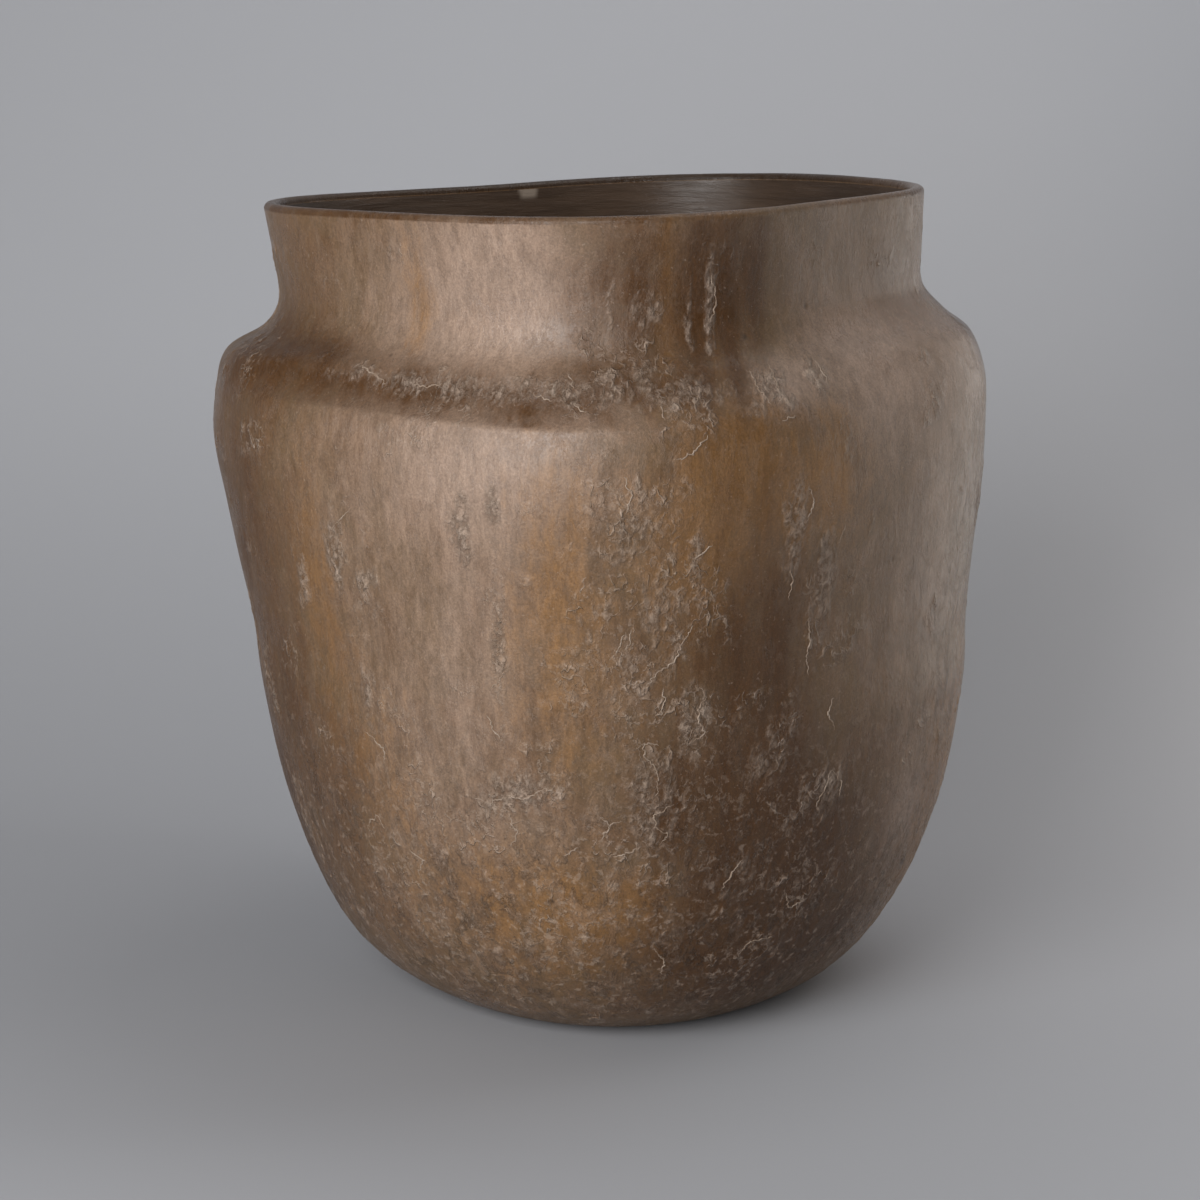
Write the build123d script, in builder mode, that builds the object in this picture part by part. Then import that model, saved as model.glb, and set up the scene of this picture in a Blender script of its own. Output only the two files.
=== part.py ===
from build123d import *
import os
from math import cos, hypot, pi, radians, sin
from typing import NamedTuple

# A wide-mouthed storage jar of fired clay, built by hand from a base slab and rings of coiled clay.
# Millimetres. The jar stands on Z = 0 about the Z axis, with its front towards -Y and its right at +X.

# Wall, base and lip
base_thickness = 26
wall_thickness = 17
lip_thickness = 12
lip_top_width = 2

# Plan: four soft corners with flatter sides between them, rounder at the foot than at the mouth
back_corner_angle = 66
left_corner_angle = 180
front_corner_angle = 270
right_corner_angle = 360
foot_flattening = 0.03
mouth_flattening = 0.12

# Tilt: the right side stands higher than the left above the waist
mouth_tilt = 1.4
tilt_start_height = 250
tilt_full_height = 500

# Coils: each is luted to the one below with a lapped joint that slopes up into the wall
base_slab_edge = 50
rim_coil_depth = 20
joint_lap = 20
wall_coils = [
    "heel_coil",
    "lower_bowl_coil",
    "middle_bowl_coil",
    "upper_bowl_coil",
    "waist_coil",
    "lower_wall_coil",
    "middle_wall_coil",
    "upper_wall_coil",
    "belly_coil",
    "shoulder_coil",
    "neck_coil",
]

# Fineness of the curves
points_per_side = 6
sections_per_coil = 4
turn_step = 0.01
run_step = 3


# A level of the wall: its height, the outer face's reach on four sides, and the depth behind that face
class Level(NamedTuple):
    height: float
    left: float
    right: float
    front: float
    back: float
    depth: float = 0


# The outer face from foot to mouth: each level's rise over the one below, and its four reaches
outer_face = {
    "foot": Level(0, 166, 166, 166, 166),
    "foot_turn": Level(8, 189, 190, 189, 189),
    "heel": Level(22, 223, 222, 221, 221),
    "lower_bowl": Level(34, 254, 251, 250, 250),
    "middle_bowl": Level(56, 282, 282, 279, 279),
    "upper_bowl": Level(80, 308, 308, 305, 304),
    "waist": Level(90, 325, 322, 322, 318),
    "lower_wall": Level(55, 331, 323, 329, 323),
    "middle_wall": Level(60, 343, 328, 337, 330),
    "upper_wall": Level(55, 353, 334, 346, 337),
    "belly": Level(60, 363, 336, 352, 342),
    "belly_top": Level(40, 360, 334, 347, 340),
    "shoulder": Level(35, 350, 321, 324, 328),
    "neck_foot": Level(21, 315, 296, 309, 302),
    "neck": Level(24, 301, 276, 303, 287),
    "upper_neck": Level(40, 306, 275, 307, 281),
    "mouth": Level(40, 313, 276, 317, 284),
}


def stacked(rises):
    height = 0
    for level in rises:
        height += level.height
        yield level._replace(height=height)


def reach(level):
    return (level.left + level.right + level.front + level.back) / 4


def wall_length(lower, upper):
    return hypot(upper.height - lower.height, reach(upper) - reach(lower))


# Levels by their height, and the run up the outside of the wall from the foot to each of them
levels = list(stacked(outer_face.values()))
runs = [0]
for lower, upper in zip(levels, levels[1:]):
    runs.append(runs[-1] + wall_length(lower, upper))
mouth_height = levels[-1].height
mouth_run = runs[-1]


# How fast each measure of the wall changes with the run at one of the levels
def slopes_at(step):
    first = max(step - 1, 0)
    last = min(step + 1, len(levels) - 1)
    return [(b - a) / (runs[last] - runs[first]) for a, b in zip(levels[first], levels[last])]


# The outer face at any run, eased through the levels on either side of it
def level_at(run):
    step = next((k for k in range(1, len(runs)) if runs[k] >= run), len(runs) - 1)
    span = runs[step] - runs[step - 1]
    t = (run - runs[step - 1]) / span
    measures = []
    for a, b, slope_a, slope_b in zip(levels[step - 1], levels[step], slopes_at(step - 1), slopes_at(step)):
        eased = a * (1 + 2 * t) * (1 - t) ** 2 + b * t**2 * (3 - 2 * t)
        measures.append(eased + span * t * (1 - t) * (slope_a * (1 - t) - slope_b * t))
    return Level(*measures)


# The inner face opposite the outer face at this run: square to the wall, which thins towards the lip
def inner_level_at(run):
    below = level_at(run - run_step)
    above = level_at(min(run + run_step, mouth_run))
    thickness = wall_thickness + (lip_thickness - wall_thickness) * run / mouth_run
    inward = thickness * (above.height - below.height) / wall_length(below, above)
    upward = thickness * (reach(above) - reach(below)) / wall_length(below, above)
    level = level_at(run)
    return level._replace(height=level.height + upward, depth=inward)


# A point of the outer face's outline, by turns of one side each: the reach eases from corner to corner
def face_point(level, turn):
    corners = [
        (back_corner_angle, level.back),
        (left_corner_angle, level.left),
        (front_corner_angle, level.front),
        (right_corner_angle, level.right),
        (back_corner_angle + 360, level.back),
    ]
    first = int(turn) % 4
    share = turn % 1
    (start, corner), (end, next_corner) = corners[first : first + 2]
    side = corner + (next_corner - corner) * (1 - cos(pi * share)) / 2
    flattening = foot_flattening + (mouth_flattening - foot_flattening) * level.height / mouth_height
    pressed = flattening * ((end - start) / 90) ** 2 * sin(pi * share) ** 2
    return Vector(side * (1 - pressed), 0).rotate(Axis.Z, start + (end - start) * share)


def set_back(level, turn):
    along = face_point(level, turn + turn_step) - face_point(level, turn - turn_step)
    return face_point(level, turn) + along.normalized().rotate(Axis.Z, 90) * level.depth


def level_plane(height):
    share = (height - tilt_start_height) / (tilt_full_height - tilt_start_height)
    return Plane((0, 0, height)).rotated((0, -mouth_tilt * min(max(share, 0), 1), 0))


# A level's closed outline, set back square to the outer face by the level's depth
def outline(level):
    turns = [4 + point / points_per_side for point in range(4 * points_per_side)]
    with BuildSketch(level_plane(level.height)) as sketch:
        with BuildLine():
            Spline(*(set_back(level, turn) for turn in turns), periodic=True)
        make_face()
    return sketch.sketch


def spread(start, end):
    return [start + (end - start) * step / (sections_per_coil - 1) for step in range(sections_per_coil)]


# Outlines up the outer face, and up the inner face, from one run to another
def outside(start, end):
    return [outline(level_at(run)) for run in spread(start, end)]


def inside(start, end):
    return [outline(inner_level_at(run)) for run in spread(start, end)]


os.makedirs("parts", exist_ok=True)

# The base slab: a thick floor whose edge turns up into the first joint
base_outside = outside(0, base_slab_edge)
floor = outline(inner_level_at(runs[1])._replace(height=base_thickness))
floor_turn = outline(inner_level_at(base_slab_edge + joint_lap / 2))
inner_edge = outline(inner_level_at(base_slab_edge + joint_lap))

with BuildPart() as base_slab:
    loft(base_outside)
    loft([base_outside[-1], inner_edge], ruled=True)
    loft([floor, floor_turn, inner_edge], mode=Mode.SUBTRACT)
base_slab.part.label = "base_slab"
export_step(base_slab.part, "parts/base_slab.step")

# The wall coils: equal rises, each seated on the lap below and ending in the lap above
rim_joint = mouth_run - rim_coil_depth - joint_lap
coil_rise = (rim_joint - base_slab_edge) / len(wall_coils)

for count, name in enumerate(wall_coils):
    joint = base_slab_edge + count * coil_rise
    coil_outside = outside(joint, joint + coil_rise)
    coil_inside = inside(joint + joint_lap, joint + joint_lap + coil_rise)
    with BuildPart() as coil:
        loft(coil_outside)
        loft([coil_outside[-1], coil_inside[-1]], ruled=True)
        loft([coil_outside[0], coil_inside[0]], ruled=True, mode=Mode.SUBTRACT)
        loft(coil_inside, mode=Mode.SUBTRACT)
    coil.part.label = name
    export_step(coil.part, f"parts/{name}.step")

# The rim coil: the last ring, with its lip rounded over on both sides above the mouth
rim_outside = outside(rim_joint, mouth_run)
rim_inside = inside(rim_joint + joint_lap, mouth_run)
lip_rounding = (lip_thickness - lip_top_width) / 2
lip_outside = []
lip_inside = []
for turn in (0, 30, 60, 90):
    height = mouth_height + lip_rounding * sin(radians(turn))
    depth = lip_rounding * (1 - cos(radians(turn)))
    lip_outside.append(outline(levels[-1]._replace(height=height, depth=depth)))
    lip_inside.append(outline(levels[-1]._replace(height=height, depth=lip_thickness - depth)))

with BuildPart() as rim_coil:
    loft(rim_outside)
    loft(lip_outside)
    loft([rim_outside[0], rim_inside[0]], ruled=True, mode=Mode.SUBTRACT)
    loft(rim_inside[:-1] + lip_inside[:1], mode=Mode.SUBTRACT)
    loft(lip_inside, mode=Mode.SUBTRACT)
rim_coil.part.label = "rim_coil"
export_step(rim_coil.part, "parts/rim_coil.step")
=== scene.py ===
import math

import bpy
import numpy as np
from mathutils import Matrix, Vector


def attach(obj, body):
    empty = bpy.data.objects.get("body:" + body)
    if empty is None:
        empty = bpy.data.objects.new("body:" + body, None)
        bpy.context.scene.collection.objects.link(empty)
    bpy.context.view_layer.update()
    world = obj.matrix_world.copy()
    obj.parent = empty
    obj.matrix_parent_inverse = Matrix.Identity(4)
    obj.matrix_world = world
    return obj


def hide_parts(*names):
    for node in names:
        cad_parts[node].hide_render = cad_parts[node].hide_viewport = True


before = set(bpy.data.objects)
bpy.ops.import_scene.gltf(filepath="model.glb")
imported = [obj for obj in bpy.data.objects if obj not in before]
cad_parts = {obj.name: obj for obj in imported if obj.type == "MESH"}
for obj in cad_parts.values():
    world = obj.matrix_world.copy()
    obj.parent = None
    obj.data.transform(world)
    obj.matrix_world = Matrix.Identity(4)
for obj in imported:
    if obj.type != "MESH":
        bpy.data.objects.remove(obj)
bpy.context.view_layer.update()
print("frame loaded:", len(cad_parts), "nodes")

# The jar's wall follows the same rule as its solids, in millimetres
jarWall = {
    # rise over the level below, then reach to the left, right, front and back
    "levels": [
        (0, 166, 166, 166, 166),  # foot
        (8, 189, 190, 189, 189),
        (22, 223, 222, 221, 221),  # heel
        (34, 254, 251, 250, 250),
        (56, 282, 282, 279, 279),
        (80, 308, 308, 305, 304),
        (90, 325, 322, 322, 318),  # waist
        (55, 331, 323, 329, 323),
        (60, 343, 328, 337, 330),
        (55, 353, 334, 346, 337),
        (60, 363, 336, 352, 342),  # belly
        (40, 360, 334, 347, 340),
        (35, 350, 321, 324, 328),  # shoulder
        (21, 315, 296, 309, 302),
        (24, 301, 276, 303, 287),  # neck
        (40, 306, 275, 307, 281),
        (40, 313, 276, 317, 284),  # mouth
    ],
    "cornerAngles": (66, 180, 270, 360, 426),  # back, left, front, right and back again
    "footFlattening": 0.03,
    "mouthFlattening": 0.12,
    "mouthTilt": 1.4,
    "tiltStart": 250,
    "tiltFull": 500,
    "wallThickness": 17,
    "lipThickness": 12,
    "lipTopWidth": 2,
    "baseThickness": 26,
    "baseSlabEdge": 50,
    "rimCoilDepth": 20,
    "jointLap": 20,
    "columns": 1280,
    "outerStep": 1.65,  # between rows of the outer face
    "innerStep": 6.0,  # between rows of the inner face
    "undersideRows": 14,
    "lipRows": 8,
    "floorRows": 24,
    "poleShare": 0.03,  # size of the smallest row round the middle of the base
    "lipDrop": 3,  # from the lip down to the first row inside
    "runStep": 3,  # either way, to find the wall's slope
    "turnStep": 0.4,  # either way, to find the way along an outline
}
coilNames = [
    "base_slab", "heel_coil", "lower_bowl_coil", "middle_bowl_coil", "upper_bowl_coil", "waist_coil",
    "lower_wall_coil", "middle_wall_coil", "upper_wall_coil", "belly_coil", "shoulder_coil", "neck_coil", "rim_coil",
]

levels = np.array(jarWall["levels"], float)
levels[:, 0] = np.cumsum(levels[:, 0])
levelRuns = np.concatenate([[0], np.cumsum(np.hypot(np.diff(levels[:, 0]), np.diff(levels[:, 1:].mean(1))))])
mouthRun, mouthHeight = levelRuns[-1], levels[-1, 0]
before = np.maximum(np.arange(len(levels)) - 1, 0)
after = np.minimum(np.arange(len(levels)) + 1, len(levels) - 1)
levelSlopes = (levels[after] - levels[before]) / (levelRuns[after] - levelRuns[before])[:, None]
angles = jarWall["cornerAngles"][0] + 360 * np.arange(jarWall["columns"]) / jarWall["columns"]


def levelAt(run):  # height and four reaches of the outer face at each run up the wall
    run = np.atleast_1d(np.asarray(run, float))
    step = np.clip(np.searchsorted(levelRuns, run), 1, len(levelRuns) - 1)
    span = (levelRuns[step] - levelRuns[step - 1])[:, None]
    t = (run - levelRuns[step - 1])[:, None] / span
    eased = levels[step - 1] * (1 + 2 * t) * (1 - t) ** 2 + levels[step] * t**2 * (3 - 2 * t)
    return eased + span * t * (1 - t) * (levelSlopes[step - 1] * (1 - t) - levelSlopes[step] * t)


def innerLevelAt(run):  # the inner face opposite, square to the wall: its level, and its depth behind the outer face
    run = np.atleast_1d(np.asarray(run, float))
    step = jarWall["runStep"]
    low, high, level = levelAt(run - step), levelAt(np.minimum(run + step, mouthRun)), levelAt(run)
    rise, spread = high[:, 0] - low[:, 0], high[:, 1:].mean(1) - low[:, 1:].mean(1)
    thickness = jarWall["wallThickness"] + (jarWall["lipThickness"] - jarWall["wallThickness"]) * run / mouthRun
    level[:, 0] += thickness * spread / np.hypot(rise, spread)
    return level, thickness * rise / np.hypot(rise, spread)


def outlines(level, depth, turns):  # rows of points round the jar, set back square to the outer face
    corners = np.array(jarWall["cornerAngles"], float)
    reaches = level[:, [4, 1, 3, 2, 4]]
    flattening = jarWall["footFlattening"] + (
        (jarWall["mouthFlattening"] - jarWall["footFlattening"]) * level[:, :1] / mouthHeight
    )

    def facePoint(turn):
        turn = (turn - corners[0]) % 360 + corners[0]
        side = np.clip(np.searchsorted(corners, turn, side="right") - 1, 0, 3)
        span = corners[side + 1] - corners[side]
        share = (turn - corners[side]) / span
        reach = reaches[:, side] + (reaches[:, side + 1] - reaches[:, side]) * (1 - np.cos(np.pi * share)) / 2
        reach = reach * (1 - flattening * (span / 90) ** 2 * np.sin(np.pi * share) ** 2)
        return reach * np.cos(np.radians(turn)), reach * np.sin(np.radians(turn))

    x, y = facePoint(turns)
    (nextX, nextY), (lastX, lastY) = facePoint(turns + jarWall["turnStep"]), facePoint(turns - jarWall["turnStep"])
    length = np.hypot(nextX - lastX, nextY - lastY)
    x, y = x - (nextY - lastY) / length * depth[:, None], y + (nextX - lastX) / length * depth[:, None]
    height = level[:, :1]
    share = (height - jarWall["tiltStart"]) / (jarWall["tiltFull"] - jarWall["tiltStart"])
    tilt = np.radians(jarWall["mouthTilt"] * np.clip(share, 0, 1))
    return np.stack([x * np.cos(tilt), y, height + x * np.sin(tilt)], -1)


def rowsBetween(start, end, step):  # evenly spaced, without the end
    return np.linspace(start, end, max(2, round(abs(end - start) / step)), endpoint=False)


# One skin: from the middle of the underside up the outer face, over the lip and down to the middle of the floor
skinRows, outerRunRows, outerJointRows, innerJointRows = [], [], [], []


def rowsSoFar():
    return sum(len(r) for r in skinRows)


def addRows(level, depth, shrink=None):
    points = outlines(level, depth, angles)
    if shrink is not None:
        points[..., :2] *= shrink[:, None, None]
    skinRows.append(points)


rimJoint = mouthRun - jarWall["rimCoilDepth"] - jarWall["jointLap"]
joints = np.linspace(jarWall["baseSlabEdge"], rimJoint, len(coilNames) - 1)
shares = np.linspace(jarWall["poleShare"], 1, jarWall["undersideRows"], endpoint=False)
addRows(np.repeat(levelAt(0), len(shares), 0), np.zeros(len(shares)), shares)
footRow = rowsSoFar()
for low, high in zip([0, *joints], [*joints, mouthRun]):
    outerRuns = rowsBetween(low, high, jarWall["outerStep"])
    addRows(levelAt(outerRuns), np.zeros(len(outerRuns)))
    outerRunRows.append(outerRuns)
    outerJointRows.append(rowsSoFar())
outerJointRows.pop()
lipRounding = (jarWall["lipThickness"] - jarWall["lipTopWidth"]) / 2
lipTurns = np.radians(np.linspace(0, 90, jarWall["lipRows"]))
lipLevels = np.repeat(levelAt(mouthRun), len(lipTurns), 0)
lipLevels[:, 0] += lipRounding * np.sin(lipTurns)
lipDepths = lipRounding * (1 - np.cos(lipTurns))
lipRow = rowsSoFar()
addRows(lipLevels, lipDepths)
addRows(lipLevels[::-1], jarWall["lipThickness"] - lipDepths[::-1])
insideRow = rowsSoFar()
innerEdges = [mouthRun - jarWall["lipDrop"], *(joints[::-1] + jarWall["jointLap"])]
for high, low in zip(innerEdges, innerEdges[1:]):
    addRows(*innerLevelAt(rowsBetween(high, low, jarWall["innerStep"])))
    innerJointRows.insert(0, rowsSoFar())
addRows(*innerLevelAt(np.linspace(innerEdges[-1], innerEdges[-1] - jarWall["jointLap"] / 2, 4)))
floorLevel, floorDepth = innerLevelAt(levelRuns[1])
floorLevel[:, 0] = jarWall["baseThickness"]
shares = np.linspace(1, jarWall["poleShare"], jarWall["floorRows"])
addRows(np.repeat(floorLevel, len(shares), 0), np.repeat(floorDepth, len(shares)), shares)
skin = np.concatenate(skinRows)

# What the potter's hands left: a soft edge and a hollow ledge on the left of the shoulder, and a wavy lip
handShape = {
    "crestRuns": (627, 619),  # up the wall, at the two ends of the edge
    "crestAngles": (205, 262),
    "crestFades": (192, 211, 257, 288),
    "crestHeight": 1.5,
    "crestWidths": (12, 40),  # above and below the edge
    "ledgeHollow": 6.5,
    "hollowWidth": 17,
    "shadeAndDirtReach": 46,  # how far up the ledge the painted shade and dirt go
    "lipWaves": [(130, 35, -2.5), (35, 25, 2.0)],  # angle, half width, rise
    "waveStart": 640,
    "waveRise": 80,
}


def shapeByHand():
    turns = np.broadcast_to(angles % 360, skin.shape[:2])
    runs = np.full(len(skin), -1.0)
    runs[footRow:lipRow] = np.concatenate(outerRunRows)
    crest = np.interp(turns, handShape["crestAngles"], handShape["crestRuns"])
    beyond = runs[:, None] - crest
    fades = handShape["crestFades"]
    share = np.interp(turns, fades, (0, 1, 1, 0))
    share = share * share * (3 - 2 * share) * (runs[:, None] >= 0)
    edge = handShape["crestHeight"] * np.exp(-((beyond / np.where(beyond > 0, *handShape["crestWidths"])) ** 2))
    inward = np.maximum(beyond, 0) / handShape["hollowWidth"]
    push = share * (edge - handShape["ledgeHollow"] * inward * np.exp((1 - inward**2) / 2))
    skin[..., 0] += push * np.cos(np.radians(turns))
    skin[..., 1] += push * np.sin(np.radians(turns))
    # painted shade and dirt over the hollow ledge, from the edge up, stronger deeper in
    ledge = share * np.clip((beyond + 1) / 4, 0, 1) * np.clip((handShape["shadeAndDirtReach"] - beyond) / 20, 0, 1)
    ledge = ledge * np.clip(0.45 + beyond / 40, 0, 1)
    rise = sum(h * np.exp(-((((turns - a + 180) % 360 - 180) / w) ** 2)) for a, w, h in handShape["lipWaves"])
    skin[..., 2] += rise * np.clip((skin[..., 2] - handShape["waveStart"]) / handShape["waveRise"], 0, 1)
    return ledge


ledgeShadeAndDirt = shapeByHand()
skin /= 1000
rowCount, columnCount = skin.shape[:2]
print("skin:", rowCount, "rows of", columnCount)

# Tones and wear on the outer face: angle round the jar, height, half width, half height in mm, and strength
clayTones = {
    "rosy": [  # pink bloom on the burnish, and painted highlight on the lit front-left and painted sheen on the right flank
        (252, 650, 85, 60, 1.0), (240, 660, 60, 60, 0.35), (251, 525, 105, 55, 0.92), (249, 400, 70, 110, 0.36),
        (250, 330, 60, 70, 0.15), (270, 658, 28, 55, 0.3), (245, 200, 120, 110, 0.35), (252, 705, 70, 25, 0.6),
        (258, 470, 50, 80, 0.36), (264, 570, 70, 18, 0.5), (318, 590, 80, 65, 0.90), (332, 450, 60, 170, 0.50),
        (345, 600, 80, 80, 0.70), (297, 588, 45, 22, 0.85), (232, 640, 110, 80, 0.45),
        (228, 500, 100, 110, 0.28), (332, 195, 70, 60, 0.7), (235, 330, 90, 110, 0.30),
    ],
    "ochre": [
        (262, 430, 45, 110, 0.8), (283, 455, 60, 110, 0.9), (277.5, 655, 10, 75, 1.0), (285.5, 645, 6, 60, 0.7),
        (216, 380, 30, 140, 0.6), (269, 150, 60, 40, 0.7), (244, 160, 60, 60, 0.4), (288, 530, 30, 40, 0.6),
        (233, 655, 25, 60, 0.5), (228, 260, 50, 90, 0.5), (262, 300, 50, 50, 0.4), (304, 512, 38, 55, 1.0),
        (262, 130, 95, 60, 0.65), (296, 500, 34, 50, 0.8),
    ],
    # dark clay, and painted shade on the right front and lower right, on the left edge and in the shoulder groove
    "chocolate": [
        (291, 675, 52, 55, 0.72), (282.5, 660, 8, 75, 0.8), (288, 655, 11, 80, 0.85), (293.5, 672, 9, 60, 0.85),
        (289, 360, 90, 165, 0.72), (302, 190, 120, 100, 0.95), (281, 640, 30, 60, 0.4),
        (272, 655, 72, 80, 0.68), (334, 660, 60, 45, 0.45), (280, 245, 38, 45, 0.6), (242, 588, 150, 17, 0.65),
        (205, 590, 90, 30, 0.8), (275, 590, 60, 14, 0.5), (196, 440, 110, 290, 0.60), (215, 210, 70, 130, 0.45),
        (298, 85, 140, 70, 0.9),
    ],
    "crust": [  # pale granular patches where the burnish has come off
        (243, 586, 130, 11, 0.60), (277, 584, 80, 14, 0.60), (272, 420, 60, 150, 0.30),
        (265, 140, 170, 80, 0.28), (293.5, 588, 18, 16, 1.0), (303, 590, 15, 14, 1.0), (290, 571, 14, 8, 0.9),
        (296.5, 575, 10, 8, 1.0), (281, 585, 22, 14, 0.8), (272, 604, 26, 12, 0.7), (264, 588, 22, 12, 0.9),
        (256, 592, 16, 8, 0.7), (245, 585, 26, 10, 0.8), (235, 588, 24, 10, 0.8), (225, 590, 20, 8, 0.6),
        (274.5, 648, 16, 22, 0.45), (268.5, 655, 10, 26, 0.5), (284.8, 650, 6, 42, 0.9), (281, 640, 5, 34, 0.7),
        (306.5, 548, 16, 26, 0.5), (248, 482, 12, 36, 0.9), (253, 500, 9, 22, 0.8), (253, 375, 9, 70, 0.7),
        (273, 490, 22, 50, 0.7), (277, 420, 20, 60, 0.6), (281, 455, 10, 40, 0.7), (297, 475, 16, 45, 0.9),
        (303, 430, 14, 50, 0.8), (256, 255, 40, 24, 0.9), (252, 240, 30, 20, 0.6), (307, 245, 22, 30, 0.8),
        (222, 440, 14, 40, 0.7), (213, 410, 12, 40, 0.6), (229, 410, 14, 40, 0.6), (226, 320, 12, 30, 0.6),
        (291, 178, 16, 16, 0.6), (293, 276, 22, 30, 0.6), (275, 250, 30, 60, 0.7), (281, 320, 14, 40, 0.8),
    ],
    "wrinkled": [  # where the slip dried in long raised wrinkles
        (275, 400, 60, 190, 1.0), (300, 420, 42, 110, 0.9), (262, 250, 80, 60, 0.9), (240, 230, 70, 70, 0.7),
        (265, 120, 160, 70, 0.8), (300, 200, 80, 110, 0.6), (250, 590, 170, 14, 0.9), (290, 580, 90, 18, 0.9),
        (283, 690, 50, 25, 0.4), (225, 420, 60, 110, 0.5),
    ],
    "polished": [(352, 420, 150, 280, 1.0), (252, 535, 70, 28, 0.8), (252, 640, 45, 30, 0.6)],
    # how many are strewn over the sides that are turned away
    "backPatches": {"polished": 3, "rosy": 9, "ochre": 9, "chocolate": 9, "crust": 40, "wrinkled": 12},
    "lipDarkness": 0.65,
    "lipHighlight": (315, 35, 0.8),  # painted highlight on the lip: angle, half width and strength
    # strength of the painted shade and dirt on the hollow ledge
    "ledgeDarkness": 0.85,
    "insideChip": (111, 713, 11, 6),
    "seed": 11,
}


def spreadTones():  # strength of each tone at every point of the skin
    chance = np.random.default_rng(clayTones["seed"])
    turn = np.degrees(np.arctan2(skin[..., 1], skin[..., 0]))
    radius = np.hypot(skin[..., 0], skin[..., 1]) * 1000
    height = skin[..., 2] * 1000
    outside = np.zeros(rowCount)
    outside[footRow:insideRow] = 1
    belowLip = outside * np.clip((lipRow - 3 - np.arange(rowCount)) / 5, 0, 1)
    tones = {}
    for tone in ("rosy", "ochre", "chocolate", "polished", "crust", "wrinkled"):
        patches = list(clayTones[tone])
        small = tone == "crust"
        for count in range(clayTones["backPatches"][tone]):
            wide, tall = chance.uniform(9, 30) if small else chance.uniform(35, 90), chance.uniform(1.2, 3.0)
            patches.append(
                (chance.uniform(-15, 205), chance.uniform(90, 690), wide, wide * tall, chance.uniform(0.4, 0.9))
            )
        total = np.zeros((rowCount, columnCount))
        for angle, middle, halfWide, halfTall, strength in patches:
            around = np.radians((turn - angle + 180) % 360 - 180) * radius / halfWide
            away = np.hypot(around, (height - middle) / halfTall)
            weight = np.clip(1.4 - away, 0, 1) if small else np.exp(-(away**2))
            total = np.maximum(total, strength * weight) if small else 1 - (1 - total) * (1 - strength * weight)
        tones[tone] = total * (belowLip if tone in ("crust", "wrinkled") else outside)[:, None]
    # painted shade and dirt on the hollow ledge
    tones["chocolate"] = np.maximum(tones["chocolate"], ledgeShadeAndDirt * clayTones["ledgeDarkness"])
    # the lip's dark tone, lifted at the right front by a painted highlight
    angle, halfWide, strength = clayTones["lipHighlight"]
    lipHighlight = np.exp(-((((turn - angle + 180) % 360 - 180) / halfWide) ** 2))
    tones["chocolate"][lipRow:insideRow] = (clayTones["lipDarkness"] * (1 - strength * lipHighlight))[lipRow:insideRow]
    tones["wrinkled"][lipRow - 6 : insideRow] = -1  # the lip was wiped smooth
    onLip = (np.arange(rowCount) >= lipRow) & (np.arange(rowCount) < insideRow)
    tones["soot"] = onLip[:, None] * np.clip(0.35 + np.sin(np.radians(turn)), 0, 1)  # painted shade on the lip, more on the far side
    angle, middle, halfWide, halfTall = clayTones["insideChip"]
    away = np.hypot(np.radians((turn - angle + 180) % 360 - 180) * radius / halfWide, (height - middle) / halfTall)
    tones["chip"] = np.clip(3.0 - 2.6 * away, 0, 1) * (np.arange(rowCount) >= insideRow)[:, None]
    return tones


tones = spreadTones()
print("tones spread:", {name: round(float(t.mean()), 3) for name, t in tones.items()})


# Small helpers for node trees: a value that is a socket is linked, anything else is set
def addNode(tree, kind, inputs=None, **settings):
    made = tree.nodes.new(kind)
    for key, value in settings.items():
        setattr(made, key, value)
    for key, value in (inputs or {}).items():
        if isinstance(value, bpy.types.NodeSocket):
            tree.links.new(value, made.inputs[key])
        else:
            made.inputs[key].default_value = value
    return made


def addSockets(tree, side, kinds):
    for name, kind in kinds.items():
        tree.interface.new_socket(name, in_out=side, socket_type="NodeSocket" + kind)


def calc(tree, operation, a, b=0.0):
    return addNode(tree, "ShaderNodeMath", {0: a, 1: b}, operation=operation).outputs[0]


def times(tree, a, b):
    return calc(tree, "MULTIPLY", a, b)


def plus(tree, *values):
    total = values[0]
    for value in values[1:]:
        total = calc(tree, "ADD", total, value)
    return total


def vectorCalc(tree, operation, a, b):
    inputs = {0: a, "Scale": b} if operation == "SCALE" else {0: a, 1: b}
    return addNode(tree, "ShaderNodeVectorMath", inputs, operation=operation).outputs[0]


def ease(tree, value, low, high, outLow=0.0, outHigh=1.0):
    return addNode(
        tree, "ShaderNodeMapRange", {0: value, 1: low, 2: high, 3: outLow, 4: outHigh}, interpolation_type="SMOOTHSTEP"
    ).outputs[0]


def noise(tree, vector, scale, detail=3.0, roughness=0.55, distortion=0.0, w=0.0):
    return addNode(
        tree,
        "ShaderNodeTexNoise",
        {"Vector": vector, "W": w, "Scale": scale, "Detail": detail, "Roughness": roughness, "Distortion": distortion},
        noise_dimensions="4D",
    ).outputs[0]


def stretch(tree, vector, x, y, z):
    return vectorCalc(tree, "MULTIPLY", vector, (x, y, z))


def blend(tree, factor, a, b, mode="MIX"):
    return addNode(tree, "ShaderNodeMix", {0: factor, 6: a, 7: b}, data_type="RGBA", blend_type=mode).outputs[2]


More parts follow.
